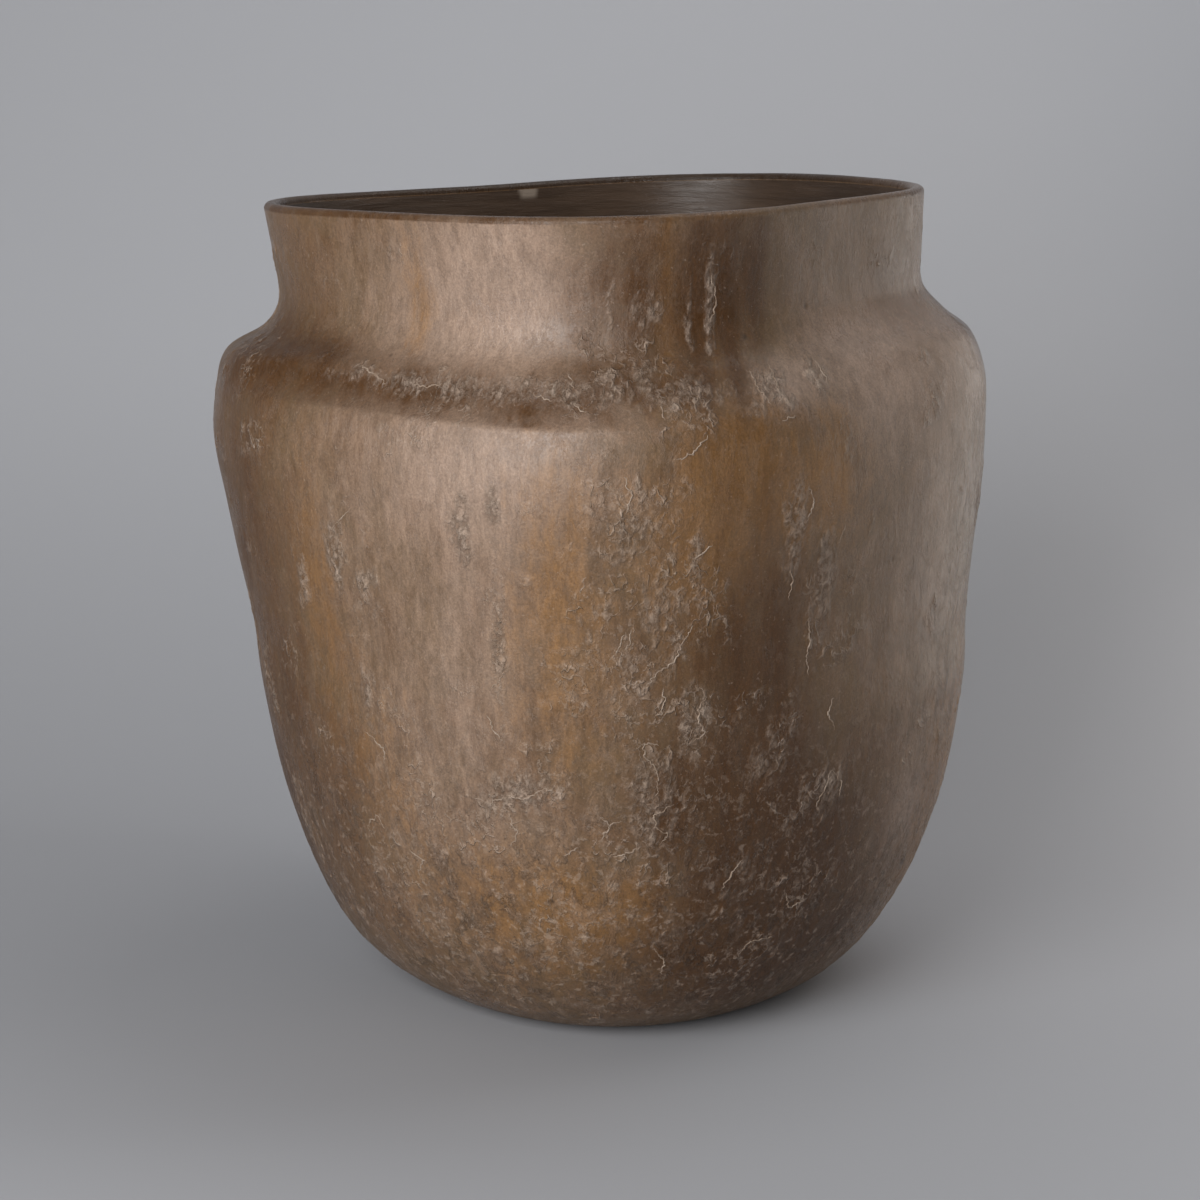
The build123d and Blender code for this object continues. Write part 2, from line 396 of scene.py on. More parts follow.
# Thin crooked lines where a warped noise passes its middle
def wrinkles(tree, place, seed, scale, drawn, narrow, wide):
    warp = addNode(tree, "ShaderNodeTexNoise", {"Vector": place, "Scale": scale * 1.7, "Detail": 2.0}).outputs[1]
    warp = vectorCalc(tree, "SCALE", vectorCalc(tree, "SUBTRACT", warp, (0.5, 0.5, 0.5)), 0.55 / scale)
    place = vectorCalc(tree, "ADD", place, warp)
    field = noise(tree, stretch(tree, place, 1, 1, drawn), scale, 2.5, 0.6, w=seed)
    away = calc(tree, "ABSOLUTE", calc(tree, "SUBTRACT", field, 0.5))
    broken = ease(tree, noise(tree, place, scale * 2.4, 2.0, w=seed), 0.45, 0.56)
    return times(tree, ease(tree, away, wide, narrow), broken)


def endTree(tree, geometry, material):
    whole = addNode(tree, "GeometryNodeRealizeInstances", {"Geometry": geometry}).outputs[0]
    dressed = addNode(tree, "GeometryNodeSetMaterial", {"Geometry": whole, "Material": material}).outputs[0]
    tree.links.new(dressed, tree.nodes.new("NodeGroupOutput").inputs[0])
    return tree


# Relief of the hand-built wall: dents, brush marks, raised crust, wrinkles, chips and pits, along the skin's normals
clayRelief = {
    "Dent Depth": 0.0012,
    "Knead Depth": 0.0004,
    "Brush Depth": 0.00012,
    "Crust Height": 0.0009,
    "Wrinkle Height": 0.0007,
    "Chip Height": 0.00035,
    "Pit Depth": 0.0006,
    "Inside Depth": 0.0010,
    "Seed": 3.0,
}


def reliefTree():
    tree = bpy.data.node_groups.new("clayRelief", "GeometryNodeTree")
    sizes = {name: "Float" for name in clayRelief}
    addSockets(tree, "INPUT", {"Geometry": "Geometry", **sizes, "Material": "Material"})
    addSockets(tree, "OUTPUT", {"Geometry": "Geometry"})
    given = tree.nodes.new("NodeGroupInput").outputs
    here = addNode(tree, "GeometryNodeInputPosition").outputs[0]
    facing = addNode(tree, "GeometryNodeInputNormal").outputs[0]

    def stored(name):
        return addNode(tree, "GeometryNodeInputNamedAttribute", {"Name": name}, data_type="FLOAT").outputs[0]

    def centred(value):
        return calc(tree, "SUBTRACT", value, 0.5)

    def scaled(value, size):
        return times(tree, value, given[size])

    seed = given["Seed"]
    height = addNode(tree, "ShaderNodeSeparateXYZ", {0: here}).outputs[2]
    outside, crust = stored("outside"), stored("crust")
    low = ease(tree, height, 0.36, 0.10)
    dents = scaled(centred(noise(tree, here, 6.0, 1.5, w=seed)), "Dent Depth")
    knead = scaled(centred(noise(tree, stretch(tree, here, 1, 1, 0.6), 26.0, 2.0, w=seed)), "Knead Depth")
    brush = scaled(centred(noise(tree, stretch(tree, here, 1, 1, 0.2), 190.0, 3.0, w=seed)), "Brush Depth")
    ragged = noise(tree, stretch(tree, here, 1, 1, 0.45), 70.0, 6.0, 0.7, 0.4, seed)
    torn = ease(tree, plus(tree, crust, times(tree, centred(ragged), 3.4)), 0.30, 1.0)
    torn = times(tree, torn, ease(tree, crust, 0.0, 0.25))
    crumbs = noise(tree, stretch(tree, here, 1, 1, 0.7), 190.0, 4.0, 0.65, 0.3, seed)
    raised = times(tree, torn, ease(tree, crumbs, 0.36, 0.66))
    raised = scaled(raised, "Crust Height")
    sparse = plus(tree, noise(tree, here, 17.0, 2.0, w=seed), times(tree, stored("wrinkled"), 0.16))
    sparse = ease(tree, sparse, 0.58, 0.68)
    ridge = times(tree, wrinkles(tree, here, seed, 38.0, 0.55, 0.004, 0.05), sparse)
    raised = plus(tree, raised, scaled(ridge, "Wrinkle Height"))
    flakes = ease(tree, noise(tree, here, 75.0, 4.0, 0.6, w=seed), 0.52, 0.64)
    chips = scaled(times(tree, flakes, low), "Chip Height")
    cells = addNode(tree, "ShaderNodeTexVoronoi", {"Vector": here, "Scale": 38.0})
    chosen = ease(tree, addNode(tree, "ShaderNodeSeparateXYZ", {0: cells.outputs[1]}).outputs[0], 0.93, 0.97)
    hole = times(tree, ease(tree, cells.outputs[0], 0.13, 0.05), chosen)
    pits = scaled(hole, "Pit Depth")
    total = plus(tree, plus(tree, dents, knead), plus(tree, brush, raised))
    total = calc(tree, "SUBTRACT", plus(tree, total, chips), pits)
    rings = scaled(centred(noise(tree, stretch(tree, here, 0.12, 0.12, 1), 60.0, 2.0, w=seed)), "Inside Depth")
    mixed = plus(tree, times(tree, total, outside), times(tree, rings, stored("inside")))
    push = vectorCalc(tree, "SCALE", facing, mixed)
    moved = addNode(tree, "GeometryNodeSetPosition", {"Geometry": given["Geometry"], "Offset": push}).outputs[0]
    for name, value in (("torn", torn), ("ridged", sparse), ("pitted", hole)):
        kept = {"Geometry": moved, "Name": name, "Value": value}
        moved = addNode(tree, "GeometryNodeStoreNamedAttribute", kept, data_type="FLOAT").outputs[0]
    return endTree(tree, moved, given["Material"])


def putDown(name, mesh):
    made = bpy.data.objects.new(name, mesh)
    bpy.context.scene.collection.objects.link(made)
    return made


def setInputs(modifier, values):  # before the object is first evaluated
    for item in modifier.node_group.interface.items_tree:
        if item.in_out == "INPUT" and item.name in values:
            modifier[item.identifier] = values[item.name]


def gridMesh(name, points, faces, starts):
    mesh = bpy.data.meshes.new(name)
    mesh.vertices.add(len(points))
    mesh.vertices.foreach_set("co", np.asarray(points, np.float32).ravel())
    mesh.loops.add(len(faces))
    mesh.loops.foreach_set("vertex_index", np.asarray(faces, np.int32))
    mesh.polygons.add(len(starts))
    mesh.polygons.foreach_set("loop_start", np.asarray(starts, np.int32))
    mesh.update(calc_edges=True)
    mesh.polygons.foreach_set("use_smooth", np.ones(len(starts), bool))
    return mesh


def storeFloat(mesh, name, values):
    mesh.attributes.new(name, "FLOAT", "POINT").data.foreach_set("value", np.asarray(values, np.float32).ravel())


# Shared shading effects: colours, masks and values only
def effectGroup(name, numbers, outputs):
    tree = bpy.data.node_groups.new(name, "ShaderNodeTree")
    addSockets(tree, "INPUT", {"Place": "Vector"})
    for label, value in numbers.items():
        tree.interface.new_socket(label, in_out="INPUT", socket_type="NodeSocketFloat").default_value = value
    addSockets(tree, "OUTPUT", {label: "Float" for label in outputs})
    return tree, tree.nodes.new("NodeGroupInput").outputs, tree.nodes.new("NodeGroupOutput").inputs


def burnishGroup():  # marks of the smoothing tool, drawn out along one direction, and the cloudiness under them
    numbers = {"Along": 0.22, "Across": 1.0, "Streak Scale": 260.0, "Seed": 0.0}
    tree, given, out = effectGroup("burnishMarks", numbers, ("Streak", "Band", "Cloud", "Mottle", "Grain"))
    across, along = given["Across"], given["Along"]
    drawn = addNode(tree, "ShaderNodeCombineXYZ", {0: across, 1: across, 2: along}).outputs[0]
    drawn = vectorCalc(tree, "MULTIPLY", given["Place"], drawn)
    streak = noise(tree, drawn, given["Streak Scale"], 5.0, 0.7, 0.3, given["Seed"])
    band = noise(tree, drawn, times(tree, given["Streak Scale"], 0.13), 8.0, 0.66, 0.4, given["Seed"])
    tree.links.new(ease(tree, streak, 0.30, 0.70), out["Streak"])
    tree.links.new(ease(tree, band, 0.34, 0.66), out["Band"])
    cloud = noise(tree, given["Place"], 12.0, 6.0, 0.65, 0.8, given["Seed"])
    tree.links.new(ease(tree, cloud, 0.36, 0.64), out["Cloud"])
    mottle = stretch(tree, drawn, 1, 1, 2.0)
    mottle = noise(tree, mottle, 85.0, 8.0, 0.74, 0.5, given["Seed"])
    tree.links.new(ease(tree, mottle, 0.34, 0.66), out["Mottle"])
    tree.links.new(noise(tree, given["Place"], 520.0, 4.0, 0.75, w=given["Seed"]), out["Grain"])
    return tree


def wearGroup():  # flaked spots, specks, blotches, and the fine and long wrinkles of the slip
    numbers = {"Fleck Scale": 120.0, "Seed": 3.0}
    outputs = ("Flecks", "Specks", "Blotch", "Crumbs", "Ridge", "Plates", "Cracks", "Flakes")
    tree, given, out = effectGroup("wornClay", numbers, outputs)
    place, seed = given["Place"], given["Seed"]
    flecks = noise(tree, place, given["Fleck Scale"], 6.0, 0.7, 0.5, seed)
    tree.links.new(ease(tree, flecks, 0.55, 0.62), out["Flecks"])
    tree.links.new(ease(tree, noise(tree, place, 330.0, 2.0, 0.5, w=seed), 0.66, 0.72), out["Specks"])
    blotch = noise(tree, stretch(tree, place, 1, 1, 0.6), 58.0, 8.0, 0.76, 0.7, seed)
    tree.links.new(ease(tree, blotch, 0.46, 0.60), out["Blotch"])
    crumbs = noise(tree, stretch(tree, place, 1, 1, 0.7), 190.0, 6.0, 0.72, 0.3, seed)
    tree.links.new(ease(tree, crumbs, 0.40, 0.60), out["Crumbs"])
    warp = {"Vector": place, "Scale": 75.0, "Detail": 4.0, "Roughness": 0.65}
    warp = addNode(tree, "ShaderNodeTexNoise", warp).outputs[1]
    warp = vectorCalc(tree, "SCALE", warp, 0.016)
    bent = vectorCalc(tree, "ADD", stretch(tree, place, 1, 1, 0.65), warp)
    cells = addNode(tree, "ShaderNodeTexVoronoi", {"Vector": bent, "Scale": 95.0})
    tree.links.new(addNode(tree, "ShaderNodeSeparateXYZ", {0: cells.outputs[1]}).outputs[0], out["Plates"])
    bits = addNode(tree, "ShaderNodeTexVoronoi", {"Vector": bent, "Scale": 230.0})
    bits = ease(tree, addNode(tree, "ShaderNodeSeparateXYZ", {0: bits.outputs[1]}).outputs[0], 0.68, 0.76)
    herds = ease(tree, noise(tree, place, 46.0, 3.0, 0.6, w=seed), 0.46, 0.60)
    tree.links.new(times(tree, bits, herds), out["Flakes"])
    edges = addNode(tree, "ShaderNodeTexVoronoi", {"Vector": bent, "Scale": 95.0}, feature="DISTANCE_TO_EDGE")
    gaps = ease(tree, noise(tree, place, 130.0, 3.0, 0.6, w=seed), 0.47, 0.58)
    tree.links.new(times(tree, ease(tree, edges.outputs[0], 0.09, 0.02), gaps), out["Cracks"])
    tree.links.new(wrinkles(tree, place, seed, 38.0, 0.55, 0.002, 0.014), out["Ridge"])
    return tree


burnishMarks, wornClay = burnishGroup(), wearGroup()


def newMaterial(name, looks):
    material = bpy.data.materials.new(name)
    material.use_nodes = True
    tree = material.node_tree
    shader = tree.nodes["Principled BSDF"]
    shader.inputs["IOR"].default_value = looks["ior"]
    place = addNode(tree, "ShaderNodeTexCoord").outputs["Object"]
    return material, tree, shader, place


def useGroup(tree, group, inputs):
    return addNode(tree, "ShaderNodeGroup", inputs, node_tree=group).outputs


def stored(tree, name):
    return addNode(tree, "ShaderNodeAttribute", attribute_name=name).outputs["Fac"]


outerLooks = {
    "umber": (0.145, 0.080, 0.040, 1),
    "clay": (0.192, 0.113, 0.063, 1),
    "rosy": (0.330, 0.231, 0.172, 1),
    "ochre": (0.240, 0.123, 0.045, 1),
    "olive": (0.155, 0.099, 0.049, 1),
    "chocolate": (0.080, 0.035, 0.011, 1),
    "chalk": (0.550, 0.425, 0.335, 1),
    "pit": (0.020, 0.013, 0.009, 1),
    "gloss": (0.28, 0.42),  # roughness of polished and of dull burnish
    "crustRoughness": 0.44,
    "ior": 1.43,
    "relief": 0.0012,
}


def outerClay():
    material, tree, shader, place = newMaterial("burnishedClay", outerLooks)
    marks = useGroup(tree, burnishMarks, {"Place": place})
    wear = useGroup(tree, wornClay, {"Place": place})
    height = addNode(tree, "ShaderNodeSeparateXYZ", {0: place}).outputs[2]
    low = ease(tree, height, 0.36, 0.10)
    torn, pitted = stored(tree, "torn"), stored(tree, "pitted")
    ridged = stored(tree, "ridged")
    ridge = times(tree, wear["Ridge"], ridged)
    flaking = calc(tree, "MAXIMUM", calc(tree, "MAXIMUM", torn, ridged), times(tree, low, wear["Blotch"]))

    def patchy(name, ragged, low, high):  # a tone with ragged edges that follow the tool marks
        tone = stored(tree, name)
        drawn = times(tree, calc(tree, "SUBTRACT", marks["Band"], 0.5), ragged)
        fine = times(tree, calc(tree, "SUBTRACT", marks["Mottle"], 0.5), ragged * 0.7)
        edge = ease(tree, plus(tree, tone, plus(tree, drawn, fine)), low, high)
        return times(tree, edge, ease(tree, tone, 0.0, 0.2))

    def share(value, size, least=0.0):
        return plus(tree, times(tree, value, size), least)

    colour = blend(tree, marks["Band"], outerLooks["umber"], outerLooks["clay"])
    colour = blend(tree, share(marks["Cloud"], 0.55), colour, outerLooks["olive"])
    # pink bloom, with painted highlight on the lit front-left and painted sheen on the right flank
    colour = blend(tree, patchy("rosy", 0.16, 0.0, 1.0), colour, outerLooks["rosy"])
    colour = blend(tree, patchy("ochre", 0.40, 0.1, 1.0), colour, outerLooks["ochre"])
    colour = blend(tree, times(tree, wear["Blotch"], share(low, 0.16, 0.12)), colour, outerLooks["rosy"])
    # dark clay patches, with painted shade on the sides turned from the light
    colour = blend(tree, patchy("chocolate", 0.30, 0.12, 0.92), colour, outerLooks["chocolate"])
    shade = ease(tree, marks["Streak"], 0.0, 1.0, 0.92, 1.08)
    shade = times(tree, shade, ease(tree, marks["Mottle"], 0.0, 1.0, 0.89, 1.10))
    shade = times(tree, shade, ease(tree, marks["Grain"], 0.3, 0.7, 0.78, 1.22))
    grey = addNode(tree, "ShaderNodeCombineColor", {0: shade, 1: shade, 2: shade}).outputs[0]
    colour = blend(tree, 1.0, colour, grey, "MULTIPLY")
    loose = plus(tree, share(torn, 0.32), share(flaking, 0.16))
    worn = [
        (times(tree, wear["Flecks"], share(low, 0.30, 0.05)), "chalk"),
        (share(wear["Specks"], 0.22), "chalk"),
        (times(tree, torn, share(wear["Crumbs"], -0.15, 0.15)), "chocolate"),
        (times(tree, torn, share(wear["Crumbs"], 0.45)), "chalk"),
        (share(ridge, 0.45), "chalk"),
        (times(tree, flaking, share(wear["Cracks"], 0.28)), "chalk"),
        (times(tree, loose, wear["Flakes"]), "chalk"),
        (share(pitted, 0.5), "pit"),
        # painted shade on the lip, more on the far side
        (share(stored(tree, "soot"), 0.7), "pit"),
    ]
    for mask, tone in worn:
        colour = blend(tree, mask, colour, outerLooks[tone])
    tree.links.new(colour, shader.inputs["Base Color"])
    gloss = ease(tree, marks["Cloud"], 0.0, 1.0, *outerLooks["gloss"])
    gloss = plus(tree, gloss, ease(tree, marks["Streak"], 0.0, 1.0, -0.05, 0.05))
    rough = addNode(tree, "ShaderNodeMix", {0: torn, 2: gloss, 3: outerLooks["crustRoughness"]}).outputs[0]
    rough = times(tree, rough, share(stored(tree, "polished"), -0.35, 1.0))
    tree.links.new(rough, shader.inputs["Roughness"])
    relief = plus(
        tree,
        share(marks["Streak"], 0.06),
        share(marks["Grain"], 0.20),
        share(marks["Mottle"], 0.10),
        times(tree, torn, share(wear["Crumbs"], 0.9)),
        plus(tree, share(ridge, 0.9), share(wear["Blotch"], 0.15)),
        times(tree, flaking, share(wear["Plates"], 0.8)),
        times(tree, flaking, share(wear["Cracks"], 0.4)),
        times(tree, flaking, share(wear["Flakes"], 0.5)),
    )
    bump = addNode(tree, "ShaderNodeBump", {"Strength": 1.0, "Distance": outerLooks["relief"], "Height": relief})
    tree.links.new(bump.outputs[0], shader.inputs["Normal"])
    return material


innerLooks = {
    "dark": (0.042, 0.026, 0.017, 1),
    "light": (0.108, 0.069, 0.046, 1),
    "chalk": (0.30, 0.24, 0.19, 1),
    "gloss": (0.30, 0.46),
    "ior": 1.5,
    "relief": 0.0010,
}


def innerClay(name, looks, along, across):
    material, tree, shader, place = newMaterial(name, looks)
    drawn = {"Place": place, "Along": along, "Across": across, "Streak Scale": 200.0, "Seed": 7.0}
    marks = useGroup(tree, burnishMarks, drawn)
    wear = useGroup(tree, wornClay, {"Place": place, "Seed": 9.0})
    colour = blend(tree, marks["Band"], looks["dark"], looks["light"])
    colour = blend(tree, times(tree, marks["Streak"], 0.4), colour, looks["dark"])
    colour = blend(tree, times(tree, wear["Specks"], 0.1), colour, looks["chalk"])
    colour = blend(tree, stored(tree, "chip"), colour, looks["chalk"])
    tree.links.new(colour, shader.inputs["Base Color"])
    tree.links.new(ease(tree, marks["Cloud"], 0.0, 1.0, *looks["gloss"]), shader.inputs["Roughness"])
    streaks, grain = times(tree, marks["Streak"], 0.5), times(tree, marks["Grain"], 0.2)
    relief = plus(tree, streaks, grain)
    bump = addNode(tree, "ShaderNodeBump", {"Strength": 0.6, "Distance": looks["relief"], "Height": relief})
    tree.links.new(bump.outputs[0], shader.inputs["Normal"])
    return material


jointLooks = {
    "dark": (0.150, 0.090, 0.055, 1),
    "light": (0.230, 0.145, 0.090, 1),
    "chalk": (0.42, 0.35, 0.28, 1),
    "gloss": (0.80, 0.90),
    "ior": 1.45,
    "relief": 0.0008,
}
materials = [
    outerClay(),
    innerClay("smoothedInside", innerLooks, 1.0, 0.10),
    innerClay("rawJoint", jointLooks, 1.0, 1.0),
]
print("materials made")

# The skin as one mesh, pushed into relief, then cut along the joints
numbers = np.arange(rowCount * columnCount).reshape(rowCount, columnCount)
undersidePole, floorPole = rowCount * columnCount, rowCount * columnCount + 1
polePoints = np.array([[0, 0, 0], [0, 0, jarWall["baseThickness"] / 1000]])
skinPoints = np.concatenate([skin.reshape(-1, 3), polePoints])


def poleFaces(pole, row, under):
    ahead = np.roll(row, -1)
    return np.stack([np.full_like(row, pole), ahead, row] if under else [row, ahead, np.full_like(row, pole)], -1)


def faceLists(quads, triangles=()):
    loops = [q.reshape(-1) for q in quads] + [t.reshape(-1) for t in triangles]
    counts = [len(f.reshape(-1, f.shape[-1])) for f in [*quads, *triangles]]
    sizes = np.repeat([4] * len(quads) + [3] * len(triangles), counts)
    return np.concatenate(loops), np.concatenate([[0], np.cumsum(sizes)[:-1]])


skinQuads = np.stack([numbers[:-1], np.roll(numbers[:-1], -1, 1), np.roll(numbers[1:], -1, 1), numbers[1:]], -1)
poles = [poleFaces(undersidePole, numbers[0], True), poleFaces(floorPole, numbers[-1], False)]
skinMesh = gridMesh("skin", skinPoints, *faceLists([skinQuads.reshape(-1, 4)], poles))
rowHeights = skin[..., 2]
fade = np.clip((rowHeights - 0.004) / 0.02, 0, 1)
rowNumbers = np.arange(rowCount)[:, None]
outsideShare = ((rowNumbers >= footRow) & (rowNumbers < insideRow)) * fade
insideShare = (rowNumbers >= insideRow) * np.clip((rowNumbers - insideRow) / 3, 0, 1) * np.ones_like(fade)
for name, values in {**tones, "outside": outsideShare, "inside": insideShare}.items():
    storeFloat(skinMesh, name, np.concatenate([values.reshape(-1), [0, 0]]))
skinObject = putDown("skin", skinMesh)
modifier = skinObject.modifiers.new("clayRelief", "NODES")
modifier.node_group = reliefTree()
setInputs(modifier, {**clayRelief, "Material": materials[0]})
wornSkin = bpy.data.meshes.new_from_object(skinObject.evaluated_get(bpy.context.evaluated_depsgraph_get()))
wornPoints = np.empty(len(wornSkin.vertices) * 3, np.float32)
wornSkin.vertices.foreach_get("co", wornPoints)
wornPoints = wornPoints.reshape(-1, 3)
wornNormals = np.empty(len(wornSkin.vertices) * 3, np.float32)
wornSkin.vertex_normals.foreach_get("vector", wornNormals)
wornNormals = wornNormals.reshape(-1, 3)
wornValues = {}
for name in ("rosy", "ochre", "chocolate", "torn", "ridged", "pitted", "chip", "soot", "polished"):
    wornValues[name] = np.empty(len(wornPoints), np.float32)
    wornSkin.attributes[name].data.foreach_get("value", wornValues[name])
bpy.data.objects.remove(skinObject)
wornObject = putDown("wornSkin", wornSkin)
furthest = float(np.abs(wornPoints - skinPoints).max()) * 1000
print("relief made:", len(wornPoints), "points, moved up to", round(furthest, 2), "mm")


def ringPiece(name, outerRows, innerRows, closedBelow):  # a closed ring, its laps in the raw clay of the joint
    rows = np.concatenate([outerRows, innerRows])
    ring = numbers[rows]
    below = np.roll(ring, -1, 0) if closedBelow else ring[1:]
    top = ring if closedBelow else ring[:-1]
    quads = np.stack([top, np.roll(top, -1, 1), np.roll(below, -1, 1), below], -1)
    slots = np.where(rows[: len(top)] < insideRow, 0, 1)
    laps = [r for r in range(len(top)) if abs(int(rows[(r + 1) % len(rows)]) - int(rows[r])) > 1]
    slots[laps] = 2
    ends = [] if closedBelow else poles
    loops, starts = faceLists([quads.reshape(-1, 4)], ends)
    used, local = np.unique(loops, return_inverse=True)
    mesh = gridMesh(name, wornPoints[used], local, starts)
    faceSlots = np.repeat(slots, columnCount)
    if ends:
        faceSlots = np.concatenate([faceSlots, np.zeros(columnCount, int), np.ones(columnCount, int)])
    for material in materials:
        mesh.materials.append(material)
    mesh.polygons.foreach_set("material_index", faceSlots.astype(np.int32))
    for label, values in wornValues.items():
        storeFloat(mesh, label, values[used])
    loopNormals = wornNormals[loops]
    flat = np.empty(len(starts) * 3, np.float32)
    mesh.polygon_normals.foreach_get("vector", flat)
    sizes = np.diff(np.concatenate([starts, [len(loops)]]))
    flat = np.repeat(flat.reshape(-1, 3), sizes, 0)
    onLap = np.repeat(faceSlots == 2, sizes)
    loopNormals[onLap] = flat[onLap]
    mesh.normals_split_custom_set(loopNormals.tolist())
    piece = putDown(name + "_clay", mesh)
    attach(piece, "root")
    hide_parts(name)
    return piece


def rowSpan(first, last):
    return np.arange(first, last + 1)


lastJoint = len(outerJointRows) - 1
ringPiece(coilNames[0], rowSpan(0, outerJointRows[0]), rowSpan(innerJointRows[0], rowCount - 1), False)
for count in range(1, len(coilNames) - 1):
    ringPiece(
        coilNames[count],
        rowSpan(outerJointRows[count - 1], outerJointRows[count]),
        rowSpan(innerJointRows[count], innerJointRows[count - 1]),
        True,
    )
ringPiece(
    coilNames[-1],
    rowSpan(outerJointRows[lastJoint], insideRow - 1),
    rowSpan(insideRow, innerJointRows[lastJoint]),
    True,
)
print("rings cut:", len(coilNames))

# Crooked ridges of slip that dried on the wall: angle and height of the points along each
slipRidges = {
    "lines": [
        [(283, 467), (282, 461), (281, 456)],
        [(281, 401), (280, 391), (279, 384), (279, 374), (278, 371), (276.5, 362), (275, 355), (274, 350)],
        [(276.5, 348), (277, 337), (276.5, 326), (275.5, 324)],
        [(282, 346), (283, 338), (282, 328), (282, 316), (283, 307), (282, 301), (280.5, 298)],
        [(272, 398), (272, 386), (271, 381)],
        [(276, 300), (274, 299), (274, 288), (275.5, 282), (276.5, 271), (276, 254)],
        [(278.5, 246), (277, 239), (275.5, 236), (276, 224), (278, 220), (277, 210)],
        [(267.5, 236), (269, 227), (271, 233)], [(269.5, 200), (272, 204), (274, 208)],
        [(291, 187), (289.5, 177), (288, 162)], [(308, 254), (306.5, 239), (305, 223)],
        [(308, 254), (310.5, 243), (310.5, 228)], [(296, 439), (297, 425), (296, 412)],
        [(300.5, 395), (301, 377), (300.5, 361), (301, 343)], [(307, 318), (306, 307), (308, 291)],
        [(294, 94), (296, 104), (301, 103)], [(277, 109), (279, 95), (279, 80)],
        [(301.5, 147), (303, 130), (306.5, 134)], [(253, 230), (254.5, 214), (253, 201)],
        [(247, 244), (250, 241), (254, 249), (256, 247), (259, 259), (261, 256)], [(268, 216), (269, 227)],
        [(262, 199), (264, 207)], [(225, 282), (229, 272), (229, 257)], [(222, 194), (225.5, 206), (226.5, 195)],
        [(232, 179), (235, 174), (233, 157)], [(265, 426), (266, 443)], [(271, 393), (270, 376)],
        [(251, 339), (253, 349), (254, 368)], [(250.5, 318), (251.5, 304), (253.5, 295)],
        [(227, 480), (223.5, 465), (221.5, 455)], [(223, 452), (224, 442)], [(224, 595), (227.5, 590), (231, 582)],
        [(237, 585), (240, 585), (242.5, 588)], [(258, 583), (261, 581)], [(264, 578), (266, 572)],
        [(263, 602), (264, 590)], [(290.5, 601), (291, 587), (292.5, 576)], [(294, 604), (295, 584)],
        [(304, 605), (305, 587)], [(294, 561), (296.5, 566)], [(271, 524), (272, 508), (271, 495)],
        [(277.5, 536), (280, 542), (282, 554)], [(285, 675), (286, 655), (285, 639)], [(276, 579), (276.5, 567)],
        [(299, 507), (300, 490), (298.5, 474)], [(307, 467), (306, 452)],
    ],
    "backLines": 70,  # strewn over the sides that are turned away
    "Spacing": 0.0009,
    "Crookedness": 0.0030,
    "Thickness": 0.00062,
    "Seed": 5.0,
    "dark": (0.190, 0.115, 0.065, 1),
    "light": (0.410, 0.320, 0.250, 1),
    "gloss": (0.38, 0.52),
    "ior": 1.47,
    "chance": 23,
    "turnRow": 200,  # row of the outer face on which the angles are looked up
}


def ridgePoints():  # looked up on the worn skin, so that each ridge lies on the wall
    chance = np.random.default_rng(slipRidges["chance"])
    lines = list(slipRidges["lines"])
    for count in range(slipRidges["backLines"]):
        angle, height = chance.uniform(-10, 182), chance.uniform(80, 640)
        line = [(angle, height)]
        for step in range(chance.integers(1, 5)):
            angle, height = angle + chance.uniform(-2.4, 2.4), height - chance.uniform(6, 15)
            line.append((angle, height))
        lines.append(line)
    outer = wornPoints[: rowCount * columnCount].reshape(rowCount, columnCount, 3)[footRow:lipRow]
    around = outer[slipRidges["turnRow"]]
    turns = np.degrees(np.arctan2(around[:, 1], around[:, 0]))
    points, edges = [], []
    for line in lines:
        for count, (angle, height) in enumerate(line):
            column = np.abs((turns - angle + 180) % 360 - 180).argmin()
            row = np.abs(outer[:, column, 2] * 1000 - height).argmin()
            if count:
                edges.append((len(points) - 1, len(points)))
            points.append(outer[row, column])
    return points, edges


